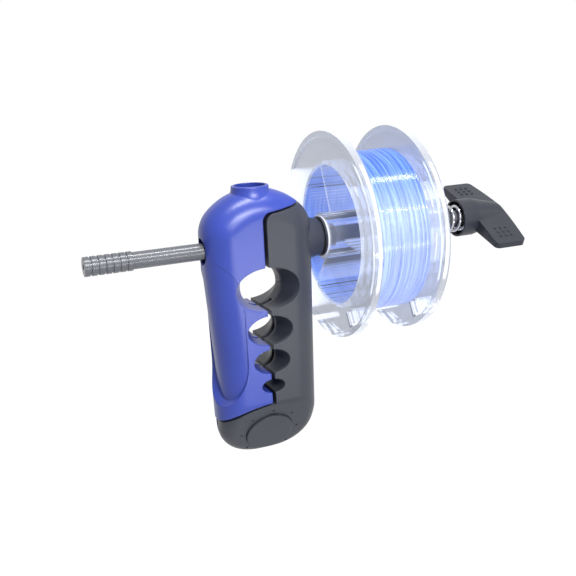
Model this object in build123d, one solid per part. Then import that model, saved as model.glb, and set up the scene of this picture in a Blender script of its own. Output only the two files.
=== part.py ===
from build123d import *
import os
from math import cos, pi, radians, sin, sqrt, tan

os.makedirs("parts", exist_ok=True)

# A hand-held fishing line winder: two jaws clamp on a rod, and a spindle through their upper ends
# carries a spool of line, held by a spring and a wing nut.
# Frame in millimetres: X runs along the spindle towards the wing nut, Y along the rod that the jaws hold, away
# from the round cap on the foot, and Z up to the dome. The origin is the centre of the third rod hole.

# ---- Grip: outline, depth and parting ----
DOME_RADIUS = 20.5  # half the grip's width at its shoulders, and the height of its top above the spindle
SHOULDER_RADIUS = 12.0
SHOULDER_Z = 46.0
FOOT_RADIUS = 19.0
SPINDLE_Z = 41.0
PIVOT_Z = -25.0  # height of the jaw's pivot, which is also the centre of the foot
GRIP_DEPTH = 21.0
EDGE_ROUND = 10.0  # radius that rounds the outline into the front and the back
PARTING_GAP = 1.4  # space between the two jaws along the rod holes
CHIN_TOP = 8.8  # height above the pivot at which the foot's front starts to slope back
CHIN_TILT = 30.0  # slope of that face, degrees
CHIN_ROUND = 5.0  # radius along the lower rim of the sloped face
FOOT_INSET = 0.9  # how far the foot's left side lies inside the shell's cheek
FOOT_INSET_END = 4.0            # left of the middle plane, where the inset runs out

# ---- Rod holes: height, throat radius, half width of the mouth ----
ROD_HOLES = [(26.6, 7.8, 12.2), (11.5, 5.4, 8.6), (0.0, 4.5, 6.9), (-9.2, 2.6, 4.4)]
THROAT_LENGTH = 5.0  # straight length of a throat along the rod, between its two mouths
GROOVE_WIDTH = 2.4  # groove along the meeting faces of the jaws, at half depth
GROOVE_DEPTH = 5.0
GROOVE_OVERRUN = 1.5  # how far the groove runs into the first and the last hole

# ---- Boundary between the shell and the jaw ----
HOOD_LEFT_Z = 53.8  # lower edge of the hood over the jaw, at the parting
HOOD_RIGHT_Z = 56.2  # the same at the right side
HOOD_GAP = 0.6
HOOD_CORNER = 3.2
SKIRT_SPLIT_Z = -15.8  # lower edge of the shell, at the parting
SKIRT_MIDDLE = (-11.0, -17.8)
SKIRT_LEFT = (-22.0, -23.5)
SKIRT_GAP_SPLIT = 0.6
SKIRT_GAP_MIDDLE = 1.1
SKIRT_GAP_LEFT = 1.8
CHEEK_FRONT_Y = 6.0  # front face of the shell's cheek behind the foot
CHEEK_CLEARANCE = 0.3  # gap between the foot and the cheek
CHEEK_RADIUS = 13.6
CHEEK_RIM_CLEARANCE = 0.4

# ---- Thumb scoop: inside a round-ended zone the shell's left side leans in, from nothing at the top ----
SCOOP_RADIUS = 18.0  # radius of the zone, which is a tube with two round ends
SCOOP_X = -27.0
SCOOP_Y = -8.0
SCOOP_LOW_Z = -0.2  # centres of the zone's round ends
SCOOP_HIGH_Z = 22.0
SCOOP_START_Z = 40.0  # height at which the lean starts
SCOOP_LEAN_IN = 2.8  # degrees towards the parting
SCOOP_LEAN_BACK = 0.45  # degrees towards the back

# ---- Dome collar and storage bore ----
COLLAR_X = -1.0
COLLAR_RADIUS = 6.7
COLLAR_RISE = 1.0
COLLAR_FILLET = 0.5
COLLAR_LIP = 0.6  # height of the collar's upright edge
COLLAR_FLARE_DROP = 5.5  # height over which the collar widens below its top
COLLAR_FLARE_RADIUS = 8.8  # radius that it widens to
COLLAR_FLARE_HOLLOW = 0.35  # how far the widening is hollowed, towards the collar's axis
BORE_RADIUS = 5.6
BORE_DEPTH = 7.0

# ---- Spindle and handle ----
SPINDLE_RADIUS = 3.0
SPINDLE_CLEARANCE = 0.06  # running clearance on the spindle
SPINDLE_RIGHT_X = 98.0
HANDLE_LEFT_X = -61.5
HANDLE_RIGHT_X = -44.5
HANDLE_RING_RADIUS = 3.4
HANDLE_GROOVE_RADIUS = 3.0
HANDLE_RINGS = 7
HANDLE_RING_SHARE = 0.78  # share of the pitch that a ring takes
HANDLE_BORE_RADIUS = 2.0
HANDLE_PLUG_LENGTH = 14.0  # length of the spindle's reduced end inside the handle
HANDLE_DIMPLE_RADIUS = 1.1
HANDLE_DIMPLE_FLOOR_RADIUS = 0.4
HANDLE_DIMPLE_DEPTH = 0.7
HANDLE_RING_FILLET = 0.18

# ---- Anchor inside the shell ----
SLOT_HALF_HEIGHT = 4.8
SLOT_HALF_WIDTH = 3.5
CHAMBER_LEFT_X = -15.0
CHAMBER_HALF_WIDTH = 5.2
CHAMBER_HALF_HEIGHT = 5.6
PLATE_THICKNESS = 2.4
PLATE_HALF_WIDTH = 8.9
PLATE_SEAT_DEPTH = 4.5  # depth of the plate's seat below the shell's parting face
PLATE_BORE_RADIUS = 3.6
PLATE_CLEARANCE = 0.1
PLATE_SCREW_Y = 7.0
PLATE_SCREW_RADIUS = 1.1
PLATE_SCREW_LENGTH = 6.0
PLATE_SCREW_HEAD_RADIUS = 1.7
PLATE_SCREW_HEAD_LENGTH = 1.2
ANCHOR_WASHER_RADIUS = 4.6
ANCHOR_WASHER_THICKNESS = 1.2
ANCHOR_GAP = 0.35
ANCHOR_COLLAR_RADIUS = 4.4
ANCHOR_COLLAR_LENGTH = 5.0
ANCHOR_PIN_RADIUS = 0.8

# ---- Boss and bush on the jaw ----
BOSS_BASE_RADIUS = 8.6
BOSS_FACE_RADIUS = 6.7
BOSS_ROOT_X = 14.0
BOSS_FACE_X = 24.6
BOSS_FILLET = 1.2
BUSH_RADIUS = 4.6
BUSH_LENGTH = 9.0
BUSH_SHOULDER_RADIUS = 7.3
BUSH_SHOULDER = 0.8
NOSE_CLEARANCE = 0.15  # gap between a nose and the bore of the spool's hub
BUSH_NOSE_TIP_RADIUS = 5.2
BUSH_NOSE_LENGTH = 4.2
DRAG_RING_THICKNESS = 0.6
JAW_SPINDLE_CLEARANCE = 0.4

# ---- Pivot ----
PIVOT_RADIUS = 2.0
PIVOT_CLEARANCE = 0.05
PIVOT_HEAD_RADIUS = 3.6
PIVOT_HEAD_LENGTH = 2.0
PIVOT_HEAD_SINK = 2.3  # depth of the head's seat below the grip's back
PIVOT_HEAD_CLEARANCE = 0.3
PIVOT_NUT_RADIUS = 3.4
PIVOT_NUT_LENGTH = 2.0
PIVOT_NUT_POCKET_RADIUS = 4.2
PIVOT_NUT_Y = -0.1  # rear face of the nut
PIVOT_SOCKET_RADIUS = 1.2
PIVOT_SOCKET_DEPTH = 1.1
CAP_RADIUS = 9.0
CAP_CENTRE_DROP = 4.2  # how far the cap's centre lies below the pivot, along Z
CAP_SEAT_DEPTH = 1.0
CAP_RISE = 0.9
CAP_CLEARANCE = 0.1
CAP_FILLET = 0.4
DOT_CIRCLE_RADIUS = 11.0
DOT_RADIUS = 0.55
DOT_DEPTH = 0.35
DOT_COUNT = 8

# ---- Spool ----
SPOOL_RADIUS = 38.0
SPOOL_WIDTH = 29.0
SPOOL_SIDE_GAP = 0.06
FLANGE_WEB = 1.4
FLANGE_WEB_SINK = 0.7
FLANGE_RIM_WIDTH = 2.8
FLANGE_RIM_THICKNESS = 1.8
DRUM_RADIUS = 27.2
DRUM_WALL = 1.4
HUB_BORE_RADIUS = 6.4
HUB_WALL = 2.1
HUB_REACH = 2.2  # how far the hub stands out of the left flange, up to the drag ring
RIB_COUNT = 3
RIB_THICKNESS = 1.2
RIB_SINK = 3.0
RIB_TURN = 22.0  # direction of the first rib, degrees from +Z towards +Y
CLIP_TURN = 209.0  # direction of the line clip in each flange, degrees from +Z towards +Y
CLIP_SLIT = 0.9
CLIP_LENGTH = 6.0
CLIP_WIDTH = 5.0
CLIP_OUTER_RADIUS = 35.4
NOTCH_TURN = 158.0
NOTCH_RADIUS = 1.6

# ---- Line ----
LINE_PACK_DEPTH = 2.0  # depth of the plain pack under the wound layer
LINE_DIAMETER = 0.9
LINE_TURNS = 16
LINE_CLEARANCE = 0.03
LINE_END_GAP = 0.35

# ---- Cone, spring and wing nut ----
CONE_SHOULDER_RADIUS = 8.2
CONE_SHOULDER = 1.4
CONE_NOSE_LENGTH = 4.2
CONE_NOSE_TIP_RADIUS = 5.2
CONE_NECK_RADIUS = 3.7
CONE_NECK_LENGTH = 3.6
WASHER_THICKNESS = 0.8
WASHER_RADIUS = 6.2
STACK_GAP = 0.05  # play between the stacked pieces on the spindle
SPRING_RADIUS = 4.7  # radius of the wire's centre line
SPRING_WIRE = 1.2
SPRING_LENGTH = 29.6
SPRING_END_PITCH = 1.75  # pitch of the closed turn at each end
SPRING_TURNS = 10
NUT_HUB_RADIUS = 7.2
NUT_HUB_LENGTH = 18.2
NUT_RECESS_RADIUS = 6.5
NUT_RECESS_DEPTH = 6.8
NUT_TURN = 24.0  # how far the wings are turned from +Y towards +Z
NUT_NOSE_RADIUS = 4.4
WING_SPAN = 42.6
WING_WIDTH = 12.6
WING_THICKNESS = 2.0
WING_ROOT_THICKNESS = 6.4
WING_CORNER = 1.8
WING_SET_BACK = 6.0  # distance from the hub's open end to the wings
WING_BULGE = 1.4
WING_DOT_RADIUS = 0.55
WING_DOT_RISE = 0.35
WING_DOT_PITCH = 2.3
WING_DOT_INSET = 4.2
INSERT_FLATS = 8.6  # width of the threaded insert across its flats
INSERT_LENGTH = 7.0
NUT_BORE_RADIUS = 3.4  # clearance bore past the insert
NUT_BORE_END = 1.6  # wall left at the closed end of the nut

# ---- Places worked out from the sizes above ----
FAR = 200.0  # past every face of the part
HALF_DEPTH = GRIP_DEPTH / 2
HALF_GAP = PARTING_GAP / 2
FOOT_BACK_Y = CHEEK_FRONT_Y - CHEEK_CLEARANCE
DOME_TOP_Z = SPINDLE_Z + DOME_RADIUS
COLLAR_TOP_Z = DOME_TOP_Z + COLLAR_RISE
PLATE_LEFT_X = -HALF_GAP - PLATE_SEAT_DEPTH
PLATE_RIGHT_X = PLATE_LEFT_X + PLATE_THICKNESS
ANCHOR_WASHER_X = PLATE_LEFT_X - ANCHOR_GAP - ANCHOR_WASHER_THICKNESS
ANCHOR_COLLAR_X = ANCHOR_WASHER_X - STACK_GAP - ANCHOR_COLLAR_LENGTH
SPINDLE_BORE = SPINDLE_RADIUS + SPINDLE_CLEARANCE
NOSE_RADIUS = HUB_BORE_RADIUS - NOSE_CLEARANCE
DRAG_RING_X = BOSS_FACE_X + BUSH_SHOULDER
HUB_LEFT_X = DRAG_RING_X + DRAG_RING_THICKNESS + SPOOL_SIDE_GAP
SPOOL_LEFT_X = HUB_LEFT_X + HUB_REACH
SPOOL_RIGHT_X = SPOOL_LEFT_X + SPOOL_WIDTH
SPOOL_MIDDLE_X = (SPOOL_LEFT_X + SPOOL_RIGHT_X) / 2
WEB_LEFT_X = SPOOL_LEFT_X + FLANGE_WEB_SINK + FLANGE_WEB  # inner face of the left flange
WEB_RIGHT_X = SPOOL_RIGHT_X - FLANGE_WEB_SINK - FLANGE_WEB
LINE_CORE_RADIUS = DRUM_RADIUS + LINE_PACK_DEPTH
CONE_FACE_X = SPOOL_RIGHT_X + SPOOL_SIDE_GAP
CONE_BACK_X = CONE_FACE_X + CONE_SHOULDER
SPRING_LEFT_X = CONE_BACK_X + WASHER_THICKNESS + STACK_GAP
SPRING_RIGHT_X = SPRING_LEFT_X + SPRING_LENGTH
SEAT_X = SPRING_RIGHT_X + STACK_GAP
NUT_FLOOR_X = SEAT_X + WASHER_THICKNESS + STACK_GAP
NUT_LEFT_X = NUT_FLOOR_X - NUT_RECESS_DEPTH
NUT_RIGHT_X = NUT_LEFT_X + NUT_HUB_LENGTH
WING_LEFT_X = NUT_LEFT_X + WING_SET_BACK
CHIN_TOP_Z = PIVOT_Z + CHIN_TOP
PIVOT_SEAT_Y = HALF_DEPTH - PIVOT_HEAD_SINK
PIVOT_FRONT_Y = PIVOT_NUT_Y - PIVOT_NUT_LENGTH
CAP_Z = PIVOT_Z - CAP_CENTRE_DROP


# ---- Ways of making the pieces ----
def save(part, node, color):
    part.label = node
    part.color = Color(*color)
    export_step(part, f"parts/{node}.step")


def along_x(x, turn=0.0):
    """A plane across the spindle at x, its own axes along Y and Z, turned about the spindle by turn degrees."""
    across = (0, cos(radians(turn)), sin(radians(turn)))
    return Plane(origin=(x, 0, SPINDLE_Z), x_dir=across, z_dir=(1, 0, 0))


def rod_x(x, length, radius):
    return extrude(along_x(x) * Circle(radius), amount=length)


def ring_x(x, length, outer, inner):
    return extrude(along_x(x) * (Circle(outer) - Circle(inner)), amount=length)


def cone_x(x, length, left_radius, right_radius):
    corners = [(x, 0), (x, left_radius), (x + length, right_radius), (x + length, 0)]
    side = Plane(origin=(0, 0, SPINDLE_Z), x_dir=(1, 0, 0), z_dir=(0, -1, 0))
    return revolve(side * make_face(Polyline(*corners, close=True)), Axis((0, 0, SPINDLE_Z), (1, 0, 0)))


def prism(face, front_y, back_y):
    """Extrudes a face drawn in X and Z, from front_y to back_y."""
    plane = Plane(origin=(0, back_y, 0), x_dir=(1, 0, 0), z_dir=(0, -1, 0))
    return extrude(plane * face, amount=back_y - front_y)


def rod_y(x, z, front_y, back_y, radius):
    return prism(Pos(x, z) * Circle(radius), front_y, back_y)


def block(low, high):
    middle = [(a + b) / 2 for a, b in zip(low, high)]
    return Pos(*middle) * Box(*[b - a for a, b in zip(low, high)])


def coil(radius, places, wire_radius):
    """Sweeps a wire round the spindle through one place along X for each quarter turn, as pairs of tangent arcs."""

    def spot(n):
        angle = n * pi / 2
        return Vector(places[n], radius * sin(angle), SPINDLE_Z + radius * cos(angle))

    def heading(n):
        angle = n * pi / 2
        before, after = max(n - 1, 0), min(n + 1, len(places) - 1)
        rise = (places[after] - places[before]) / (after - before) / (pi / 2)
        return Vector(rise, radius * cos(angle), -radius * sin(angle)).normalized()

    arcs, points = [], []
    per_turn = 24  # points measured on each turn, three on each of its arcs
    for n in range(len(places) - 1):
        start, end, leave, arrive = spot(n), spot(n + 1), heading(n), heading(n + 1)
        chord, spread = end - start, 2 * (1 - leave.dot(arrive))
        pull = chord.dot(leave + arrive)
        reach = (sqrt(pull**2 + spread * chord.dot(chord)) - pull) / spread
        middle = (start + end + (leave - arrive) * reach) * 0.5
        first = TangentArc(start, middle, tangent=leave)
        second = TangentArc(middle, end, tangent=first % 1)
        arcs += [first, second]
        points += [arc @ (step / 3) for arc in (first, second) for step in range(3)]
    gaps = [
        (points[a] - points[b]).length - 2 * wire_radius
        for a in range(len(points))
        for b in range(a + per_turn - 3, min(a + per_turn + 4, len(points)))
    ]
    section = Plane(origin=spot(0), z_dir=heading(0)) * Circle(wire_radius)
    return sweep(section, path=Wire(arcs)), min(gaps)


# ---- The grip as one body, before it is divided ----
def grip_outline():
    """A crown and two shoulders at the top and a round foot, joined by straight sides that touch both."""
    shoulder, foot = Vector(DOME_RADIUS - SHOULDER_RADIUS, SHOULDER_Z), Vector(0, PIVOT_Z)
    reach = shoulder - foot
    lean = (FOOT_RADIUS - SHOULDER_RADIUS) / reach.length
    out = Vector(reach.Y, -reach.X).normalized() * sqrt(1 - lean**2) + reach.normalized() * lean
    side_top, side_low = shoulder + out * SHOULDER_RADIUS, foot + out * FOOT_RADIUS
    spare = DOME_TOP_Z - SHOULDER_Z - SHOULDER_RADIUS
    crown = Vector(0, SHOULDER_Z - (shoulder.X**2 - spare**2) / (2 * spare))
    crown_end = shoulder + (shoulder - crown).normalized() * SHOULDER_RADIUS
    half = [
        ThreePointArc(crown_end, shoulder + (crown_end + side_top - 2 * shoulder).normalized() * SHOULDER_RADIUS, side_top),
        Line(side_top, side_low),
    ]
    top = ThreePointArc((-crown_end.X, crown_end.Y), (0, DOME_TOP_Z), crown_end)
    bottom = ThreePointArc(side_low, (0, PIVOT_Z - FOOT_RADIUS), (-side_low.X, side_low.Y))
    return make_face([top, *half, bottom, *mirror(half, about=Plane.YZ)])


def chin_plane(along_z=0.0, out=0.0):
    """The foot's sloped front, with its origin a distance below the slope's top edge and raised by out."""
    tilt = radians(CHIN_TILT)
    normal = Vector(0, -cos(tilt), -sin(tilt))
    spot = Vector(0, -HALF_DEPTH + along_z * tan(tilt), CHIN_TOP_Z - along_z) + normal * out
    return Plane(origin=spot, x_dir=(1, 0, 0), z_dir=normal)


def grip_body():
    slab = prism(grip_outline(), -HALF_DEPTH, HALF_DEPTH)
    front, back = slab.faces().sort_by(Axis.Y)[0], slab.faces().sort_by(Axis.Y)[-1]
    body = fillet(front.edges() + back.edges(), EDGE_ROUND)
    body -= extrude(chin_plane() * Rectangle(FAR, FAR), amount=FAR)
    chin = [f for f in body.faces().filter_by(GeomType.PLANE) if f.normal_at().Z < -0.1][0]
    rim = [e for e in chin.edges() if e.center().Z < PIVOT_Z - FOOT_RADIUS / 2]
    return fillet(rim, CHIN_ROUND)


def hood_edge(gap):
    """The hood's lower edge from the parting to the far right, lowered by gap."""
    side_x, left_z, right_z = (HALF_GAP if gap else -HALF_GAP), HOOD_LEFT_Z - gap, HOOD_RIGHT_Z - gap
    middle = (side_x + HOOD_CORNER, left_z - HOOD_CORNER)
    bend = (middle[0] - HOOD_CORNER * cos(pi / 4), middle[1] + HOOD_CORNER * sin(pi / 4))
    corner = ThreePointArc((side_x, middle[1]), bend, (middle[0], left_z))
    return (side_x, middle[1]), [corner, Line((middle[0], left_z), (DOME_RADIUS, right_z))]


def skirt_edge(gap_split, gap_middle, gap_left):
    """The shell's lower edge from the far left to the parting, lowered by the three gaps."""
    left = (SKIRT_LEFT[0], SKIRT_LEFT[1] - gap_left)
    middle = (SKIRT_MIDDLE[0], SKIRT_MIDDLE[1] - gap_middle)
    return left, ThreePointArc(left, middle, (-HALF_GAP, SKIRT_SPLIT_Z - gap_split))


def shell_front():
    corner, hood = hood_edge(0)
    left, skirt = skirt_edge(0, 0, 0)
    split = Line((-HALF_GAP, SKIRT_SPLIT_Z), corner)
    right = HOOD_RIGHT_Z
    round_it = Polyline((DOME_RADIUS, right), (FAR, right), (FAR, FAR), (-FAR, FAR), (-FAR, left[1]), left)
    return make_face([skirt, split, *hood, round_it])


def jaw_front():
    corner, hood = hood_edge(HOOD_GAP)
    left, skirt = skirt_edge(SKIRT_GAP_SPLIT, SKIRT_GAP_MIDDLE, SKIRT_GAP_LEFT)
    low = SKIRT_SPLIT_Z - SKIRT_GAP_SPLIT
    split = Polyline((-HALF_GAP, low), (HALF_GAP, low), corner)
    right = HOOD_RIGHT_Z - HOOD_GAP
    round_it = Polyline((DOME_RADIUS, right), (FAR, right), (FAR, -FAR), (-FAR, -FAR), (-FAR, left[1]), left)
    return make_face([skirt, split, *hood, round_it])


def rod_hole_tools():
    """The throats with their flared mouths, and the groove that joins the holes at half depth."""
    throat, over = THROAT_LENGTH / 2, 1.0
    tools = []
    for z, radius, mouth in ROD_HOLES:
        tools.append(rod_y(0, z, -throat, throat, radius))
        flare = mouth + (mouth - radius) * over / (HALF_DEPTH - throat)
        for side in (-1, 1):
            near = Plane(origin=(0, side * throat, z), x_dir=(1, 0, 0), z_dir=(0, side, 0))
            wide = Plane(origin=(0, side * (HALF_DEPTH + over), z), x_dir=(1, 0, 0), z_dir=(0, side, 0))
            tools.append(loft([near * Circle(radius), wide * Ellipse(flare, radius)]))
    top = ROD_HOLES[0][0] - ROD_HOLES[0][1] + GROOVE_OVERRUN
    low = ROD_HOLES[-1][0] + ROD_HOLES[-1][1] - GROOVE_OVERRUN
    half_x, half_y = HALF_GAP + GROOVE_DEPTH, GROOVE_WIDTH / 2
    tools.append(block((-half_x, -half_y, low), (half_x, half_y, top)))
    return tools


def scoop_tool(body):
    """What lies inside the scoop's zone and outside the body once that leans in."""
    length = SCOOP_HIGH_Z - SCOOP_LOW_Z
    zone = Pos(SCOOP_X, SCOOP_Y, SCOOP_LOW_Z) * Cylinder(
        SCOOP_RADIUS, length, align=(Align.CENTER, Align.CENTER, Align.MIN)
    )
    for z in (SCOOP_LOW_Z, SCOOP_HIGH_Z):
        zone += Pos(SCOOP_X, SCOOP_Y, z) * Sphere(SCOOP_RADIUS)
    lean = Pos(0, 0, SCOOP_START_Z) * Rot(SCOOP_LEAN_BACK, -SCOOP_LEAN_IN, 0) * Pos(0, 0, -SCOOP_START_Z)
    return zone - lean * body


def collar_blank():
    """The collar as one turned piece, which widens downwards until it lies inside the dome."""
    low, lip = COLLAR_TOP_Z - COLLAR_FLARE_DROP, COLLAR_TOP_Z - COLLAR_LIP
    middle = ((COLLAR_RADIUS + COLLAR_FLARE_RADIUS) / 2 - COLLAR_FLARE_HOLLOW, (low + lip) / 2 - COLLAR_FLARE_HOLLOW)
    flare = ThreePointArc((COLLAR_RADIUS, lip), middle, (COLLAR_FLARE_RADIUS, low))
    rest = Polyline(
        (COLLAR_FLARE_RADIUS, low), (0, low), (0, COLLAR_TOP_Z), (COLLAR_RADIUS, COLLAR_TOP_Z), (COLLAR_RADIUS, lip)
    )
    blank = revolve(Plane.XZ * make_face([flare, rest]), Axis.Z)
    top = blank.edges().filter_by(GeomType.CIRCLE).sort_by(Axis.Z)[-1]
    return Pos(COLLAR_X, 0, 0) * fillet(top, COLLAR_FILLET)


# ---- Shell: left jaw, hood, rear cheek of the foot, and the dome's collar ----
grip = grip_body()
hole_tools = rod_hole_tools()
shell_region = prism(shell_front(), -FAR, FAR)
shell_region += block((-FAR, CHEEK_FRONT_Y, -FAR), (-HALF_GAP, FAR, SPINDLE_Z))
shell_region += rod_y(0, PIVOT_Z, CHEEK_FRONT_Y, FAR, CHEEK_RADIUS)
shell = grip & shell_region
shell -= scoop_tool(grip)
shell += collar_blank() & block((-FAR, -FAR, HOOD_RIGHT_Z), (FAR, FAR, FAR))
shell -= Pos(COLLAR_X, 0, COLLAR_TOP_Z - BORE_DEPTH) * Cylinder(
    BORE_RADIUS, FAR, align=(Align.CENTER, Align.CENTER, Align.MIN)
)
low_z, high_z = SPINDLE_Z - CHAMBER_HALF_HEIGHT, SPINDLE_Z + CHAMBER_HALF_HEIGHT
seat_half = PLATE_HALF_WIDTH + PLATE_CLEARANCE
shell -= block((CHAMBER_LEFT_X, -CHAMBER_HALF_WIDTH, low_z), (0, CHAMBER_HALF_WIDTH, high_z))
shell -= block((PLATE_LEFT_X, -seat_half, low_z), (0, seat_half, high_z))
slot = SlotCenterToCenter(2 * (SLOT_HALF_HEIGHT - SLOT_HALF_WIDTH), 2 * SLOT_HALF_WIDTH, rotation=90)
shell -= extrude(along_x(-FAR) * slot, amount=FAR + CHAMBER_LEFT_X)
for y in (-PLATE_SCREW_Y, PLATE_SCREW_Y):
    hole = along_x(PLATE_LEFT_X - PLATE_SCREW_LENGTH + PLATE_THICKNESS) * Pos(y, 0) * Circle(PLATE_SCREW_RADIUS)
    shell -= extrude(hole, amount=PLATE_SCREW_LENGTH)
shell -= rod_y(0, PIVOT_Z, -FAR, FAR, PIVOT_RADIUS + PIVOT_CLEARANCE)
shell -= rod_y(0, PIVOT_Z, PIVOT_SEAT_Y, FAR, PIVOT_HEAD_RADIUS + PIVOT_HEAD_CLEARANCE)
for tool in hole_tools:
    shell -= tool
save(shell, "body_shell", (0.20, 0.28, 0.70))

# ---- Anchor: a steel plate screwed into the shell holds the spindle's collar ----
plate = block(
    (PLATE_LEFT_X, -PLATE_HALF_WIDTH, low_z + PLATE_CLEARANCE),
    (PLATE_RIGHT_X, PLATE_HALF_WIDTH, high_z - PLATE_CLEARANCE),
)
plate -= rod_x(PLATE_LEFT_X - 1, PLATE_THICKNESS + 2, PLATE_BORE_RADIUS)
screws = []
for y in (-PLATE_SCREW_Y, PLATE_SCREW_Y):
    shank = along_x(PLATE_RIGHT_X - PLATE_SCREW_LENGTH) * Pos(y, 0) * Circle(PLATE_SCREW_RADIUS)
    head = along_x(PLATE_RIGHT_X) * Pos(y, 0) * Circle(PLATE_SCREW_HEAD_RADIUS)
    shank = extrude(shank, amount=PLATE_SCREW_LENGTH)
    plate -= shank
    screws.append(shank + extrude(head, amount=PLATE_SCREW_HEAD_LENGTH))
save(plate, "anchor_plate", (0.6, 0.6, 0.62))
save(Compound(children=screws), "anchor_plate_screws", (0.5, 0.5, 0.52))

# ---- Pivot screw and nut, which join the jaw to the shell ----
pivot = rod_y(0, PIVOT_Z, PIVOT_FRONT_Y, PIVOT_SEAT_Y, PIVOT_RADIUS)
pivot += rod_y(0, PIVOT_Z, PIVOT_SEAT_Y, PIVOT_SEAT_Y + PIVOT_HEAD_LENGTH, PIVOT_HEAD_RADIUS)
socket = Plane(origin=(0, FAR, PIVOT_Z), x_dir=(1, 0, 0), z_dir=(0, -1, 0)) * RegularPolygon(PIVOT_SOCKET_RADIUS, 6)
pivot -= extrude(socket, amount=FAR - PIVOT_SEAT_Y - PIVOT_HEAD_LENGTH + PIVOT_SOCKET_DEPTH)
save(pivot, "pivot_screw", (0.55, 0.55, 0.57))
nut_face = Pos(0, PIVOT_Z) * RegularPolygon(PIVOT_NUT_RADIUS, 6) - Pos(0, PIVOT_Z) * Circle(PIVOT_RADIUS)
save(prism(nut_face, PIVOT_FRONT_Y, PIVOT_NUT_Y), "pivot_nut", (0.55, 0.55, 0.57))

# ---- Jaw: right jaw, boss and foot ----
jaw_region = prism(jaw_front(), -FAR, FAR)
jaw_region -= rod_y(0, PIVOT_Z, FOOT_BACK_Y, FAR, CHEEK_RADIUS + CHEEK_RIM_CLEARANCE)
jaw_region -= block((-FAR, FOOT_BACK_Y, -FAR), (HALF_GAP, FAR, SPINDLE_Z))
jaw = grip & jaw_region
jaw -= block((-FAR, -FAR, -FAR), (-FOOT_INSET_END, FAR, SKIRT_SPLIT_Z)) - Pos(FOOT_INSET, 0, 0) * grip
boss = cone_x(BOSS_ROOT_X, BOSS_FACE_X - BOSS_ROOT_X, BOSS_BASE_RADIUS, BOSS_FACE_RADIUS)
jaw += fillet(boss.edges().sort_by(Axis.X)[-1], BOSS_FILLET)
jaw -= rod_x(0, FAR, SPINDLE_RADIUS + JAW_SPINDLE_CLEARANCE)
jaw -= rod_x(BOSS_FACE_X - BUSH_LENGTH, FAR, BUSH_RADIUS)
jaw -= rod_y(0, PIVOT_Z, -FAR, FAR, PIVOT_RADIUS + PIVOT_CLEARANCE)
jaw -= rod_y(0, PIVOT_Z, -FAR, PIVOT_NUT_Y + STACK_GAP, PIVOT_NUT_POCKET_RADIUS)
cap_drop = CHIN_TOP_Z - CAP_Z
jaw -= extrude(chin_plane(cap_drop, -CAP_SEAT_DEPTH) * Circle(CAP_RADIUS), amount=FAR)
for place in PolarLocations(DOT_CIRCLE_RADIUS, DOT_COUNT):
    jaw -= extrude(chin_plane(cap_drop, -DOT_DEPTH) * place * Circle(DOT_RADIUS), amount=2 * DOT_DEPTH)
for tool in hole_tools:
    jaw -= tool
save(jaw, "jaw_shell", (0.30, 0.31, 0.35))

cap = extrude(
    chin_plane(cap_drop, -CAP_SEAT_DEPTH) * Circle(CAP_RADIUS - CAP_CLEARANCE), amount=CAP_SEAT_DEPTH + CAP_RISE
)
cap = fillet(cap.edges().sort_by(Axis((0, 0, 0), chin_plane().z_dir))[-1], CAP_FILLET)
save(cap, "pivot_cap", (0.33, 0.34, 0.38))

# ---- Bush and drag ring on the boss, which the spool turns on ----
bush = rod_x(BOSS_FACE_X - BUSH_LENGTH, BUSH_LENGTH, BUSH_RADIUS)
bush += rod_x(BOSS_FACE_X, BUSH_SHOULDER, BUSH_SHOULDER_RADIUS)
bush += cone_x(BOSS_FACE_X + BUSH_SHOULDER, BUSH_NOSE_LENGTH, NOSE_RADIUS, BUSH_NOSE_TIP_RADIUS)
bush -= rod_x(0, FAR, SPINDLE_BORE)
save(bush, "spool_bush", (0.28, 0.29, 0.32))
save(
    ring_x(DRAG_RING_X, DRAG_RING_THICKNESS, BUSH_SHOULDER_RADIUS, NOSE_RADIUS + STACK_GAP),
    "drag_ring",
    (0.8, 0.78, 0.7),
)

# ---- Spindle with its handle, collar and pin ----
spindle = rod_x(HANDLE_RIGHT_X, SPINDLE_RIGHT_X - HANDLE_RIGHT_X, SPINDLE_RADIUS)
spindle += rod_x(HANDLE_RIGHT_X - HANDLE_PLUG_LENGTH, HANDLE_PLUG_LENGTH, HANDLE_BORE_RADIUS)
pin_x = ANCHOR_COLLAR_X + ANCHOR_COLLAR_LENGTH / 2
pin = Pos(pin_x, 0, SPINDLE_Z) * Cylinder(ANCHOR_PIN_RADIUS, 2 * ANCHOR_COLLAR_RADIUS)
pin &= rod_x(ANCHOR_COLLAR_X, ANCHOR_COLLAR_LENGTH, ANCHOR_COLLAR_RADIUS)
save(spindle - pin, "spindle", (0.2, 0.2, 0.22))
anchor_collar = ring_x(ANCHOR_COLLAR_X, ANCHOR_COLLAR_LENGTH, ANCHOR_COLLAR_RADIUS, SPINDLE_RADIUS)
save(anchor_collar - pin, "anchor_collar", (0.6, 0.6, 0.62))
save(pin, "anchor_pin", (0.7, 0.7, 0.72))
save(
    ring_x(ANCHOR_WASHER_X, ANCHOR_WASHER_THICKNESS, ANCHOR_WASHER_RADIUS, SPINDLE_BORE),
    "anchor_washer",
    (0.75, 0.72, 0.5),
)

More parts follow.
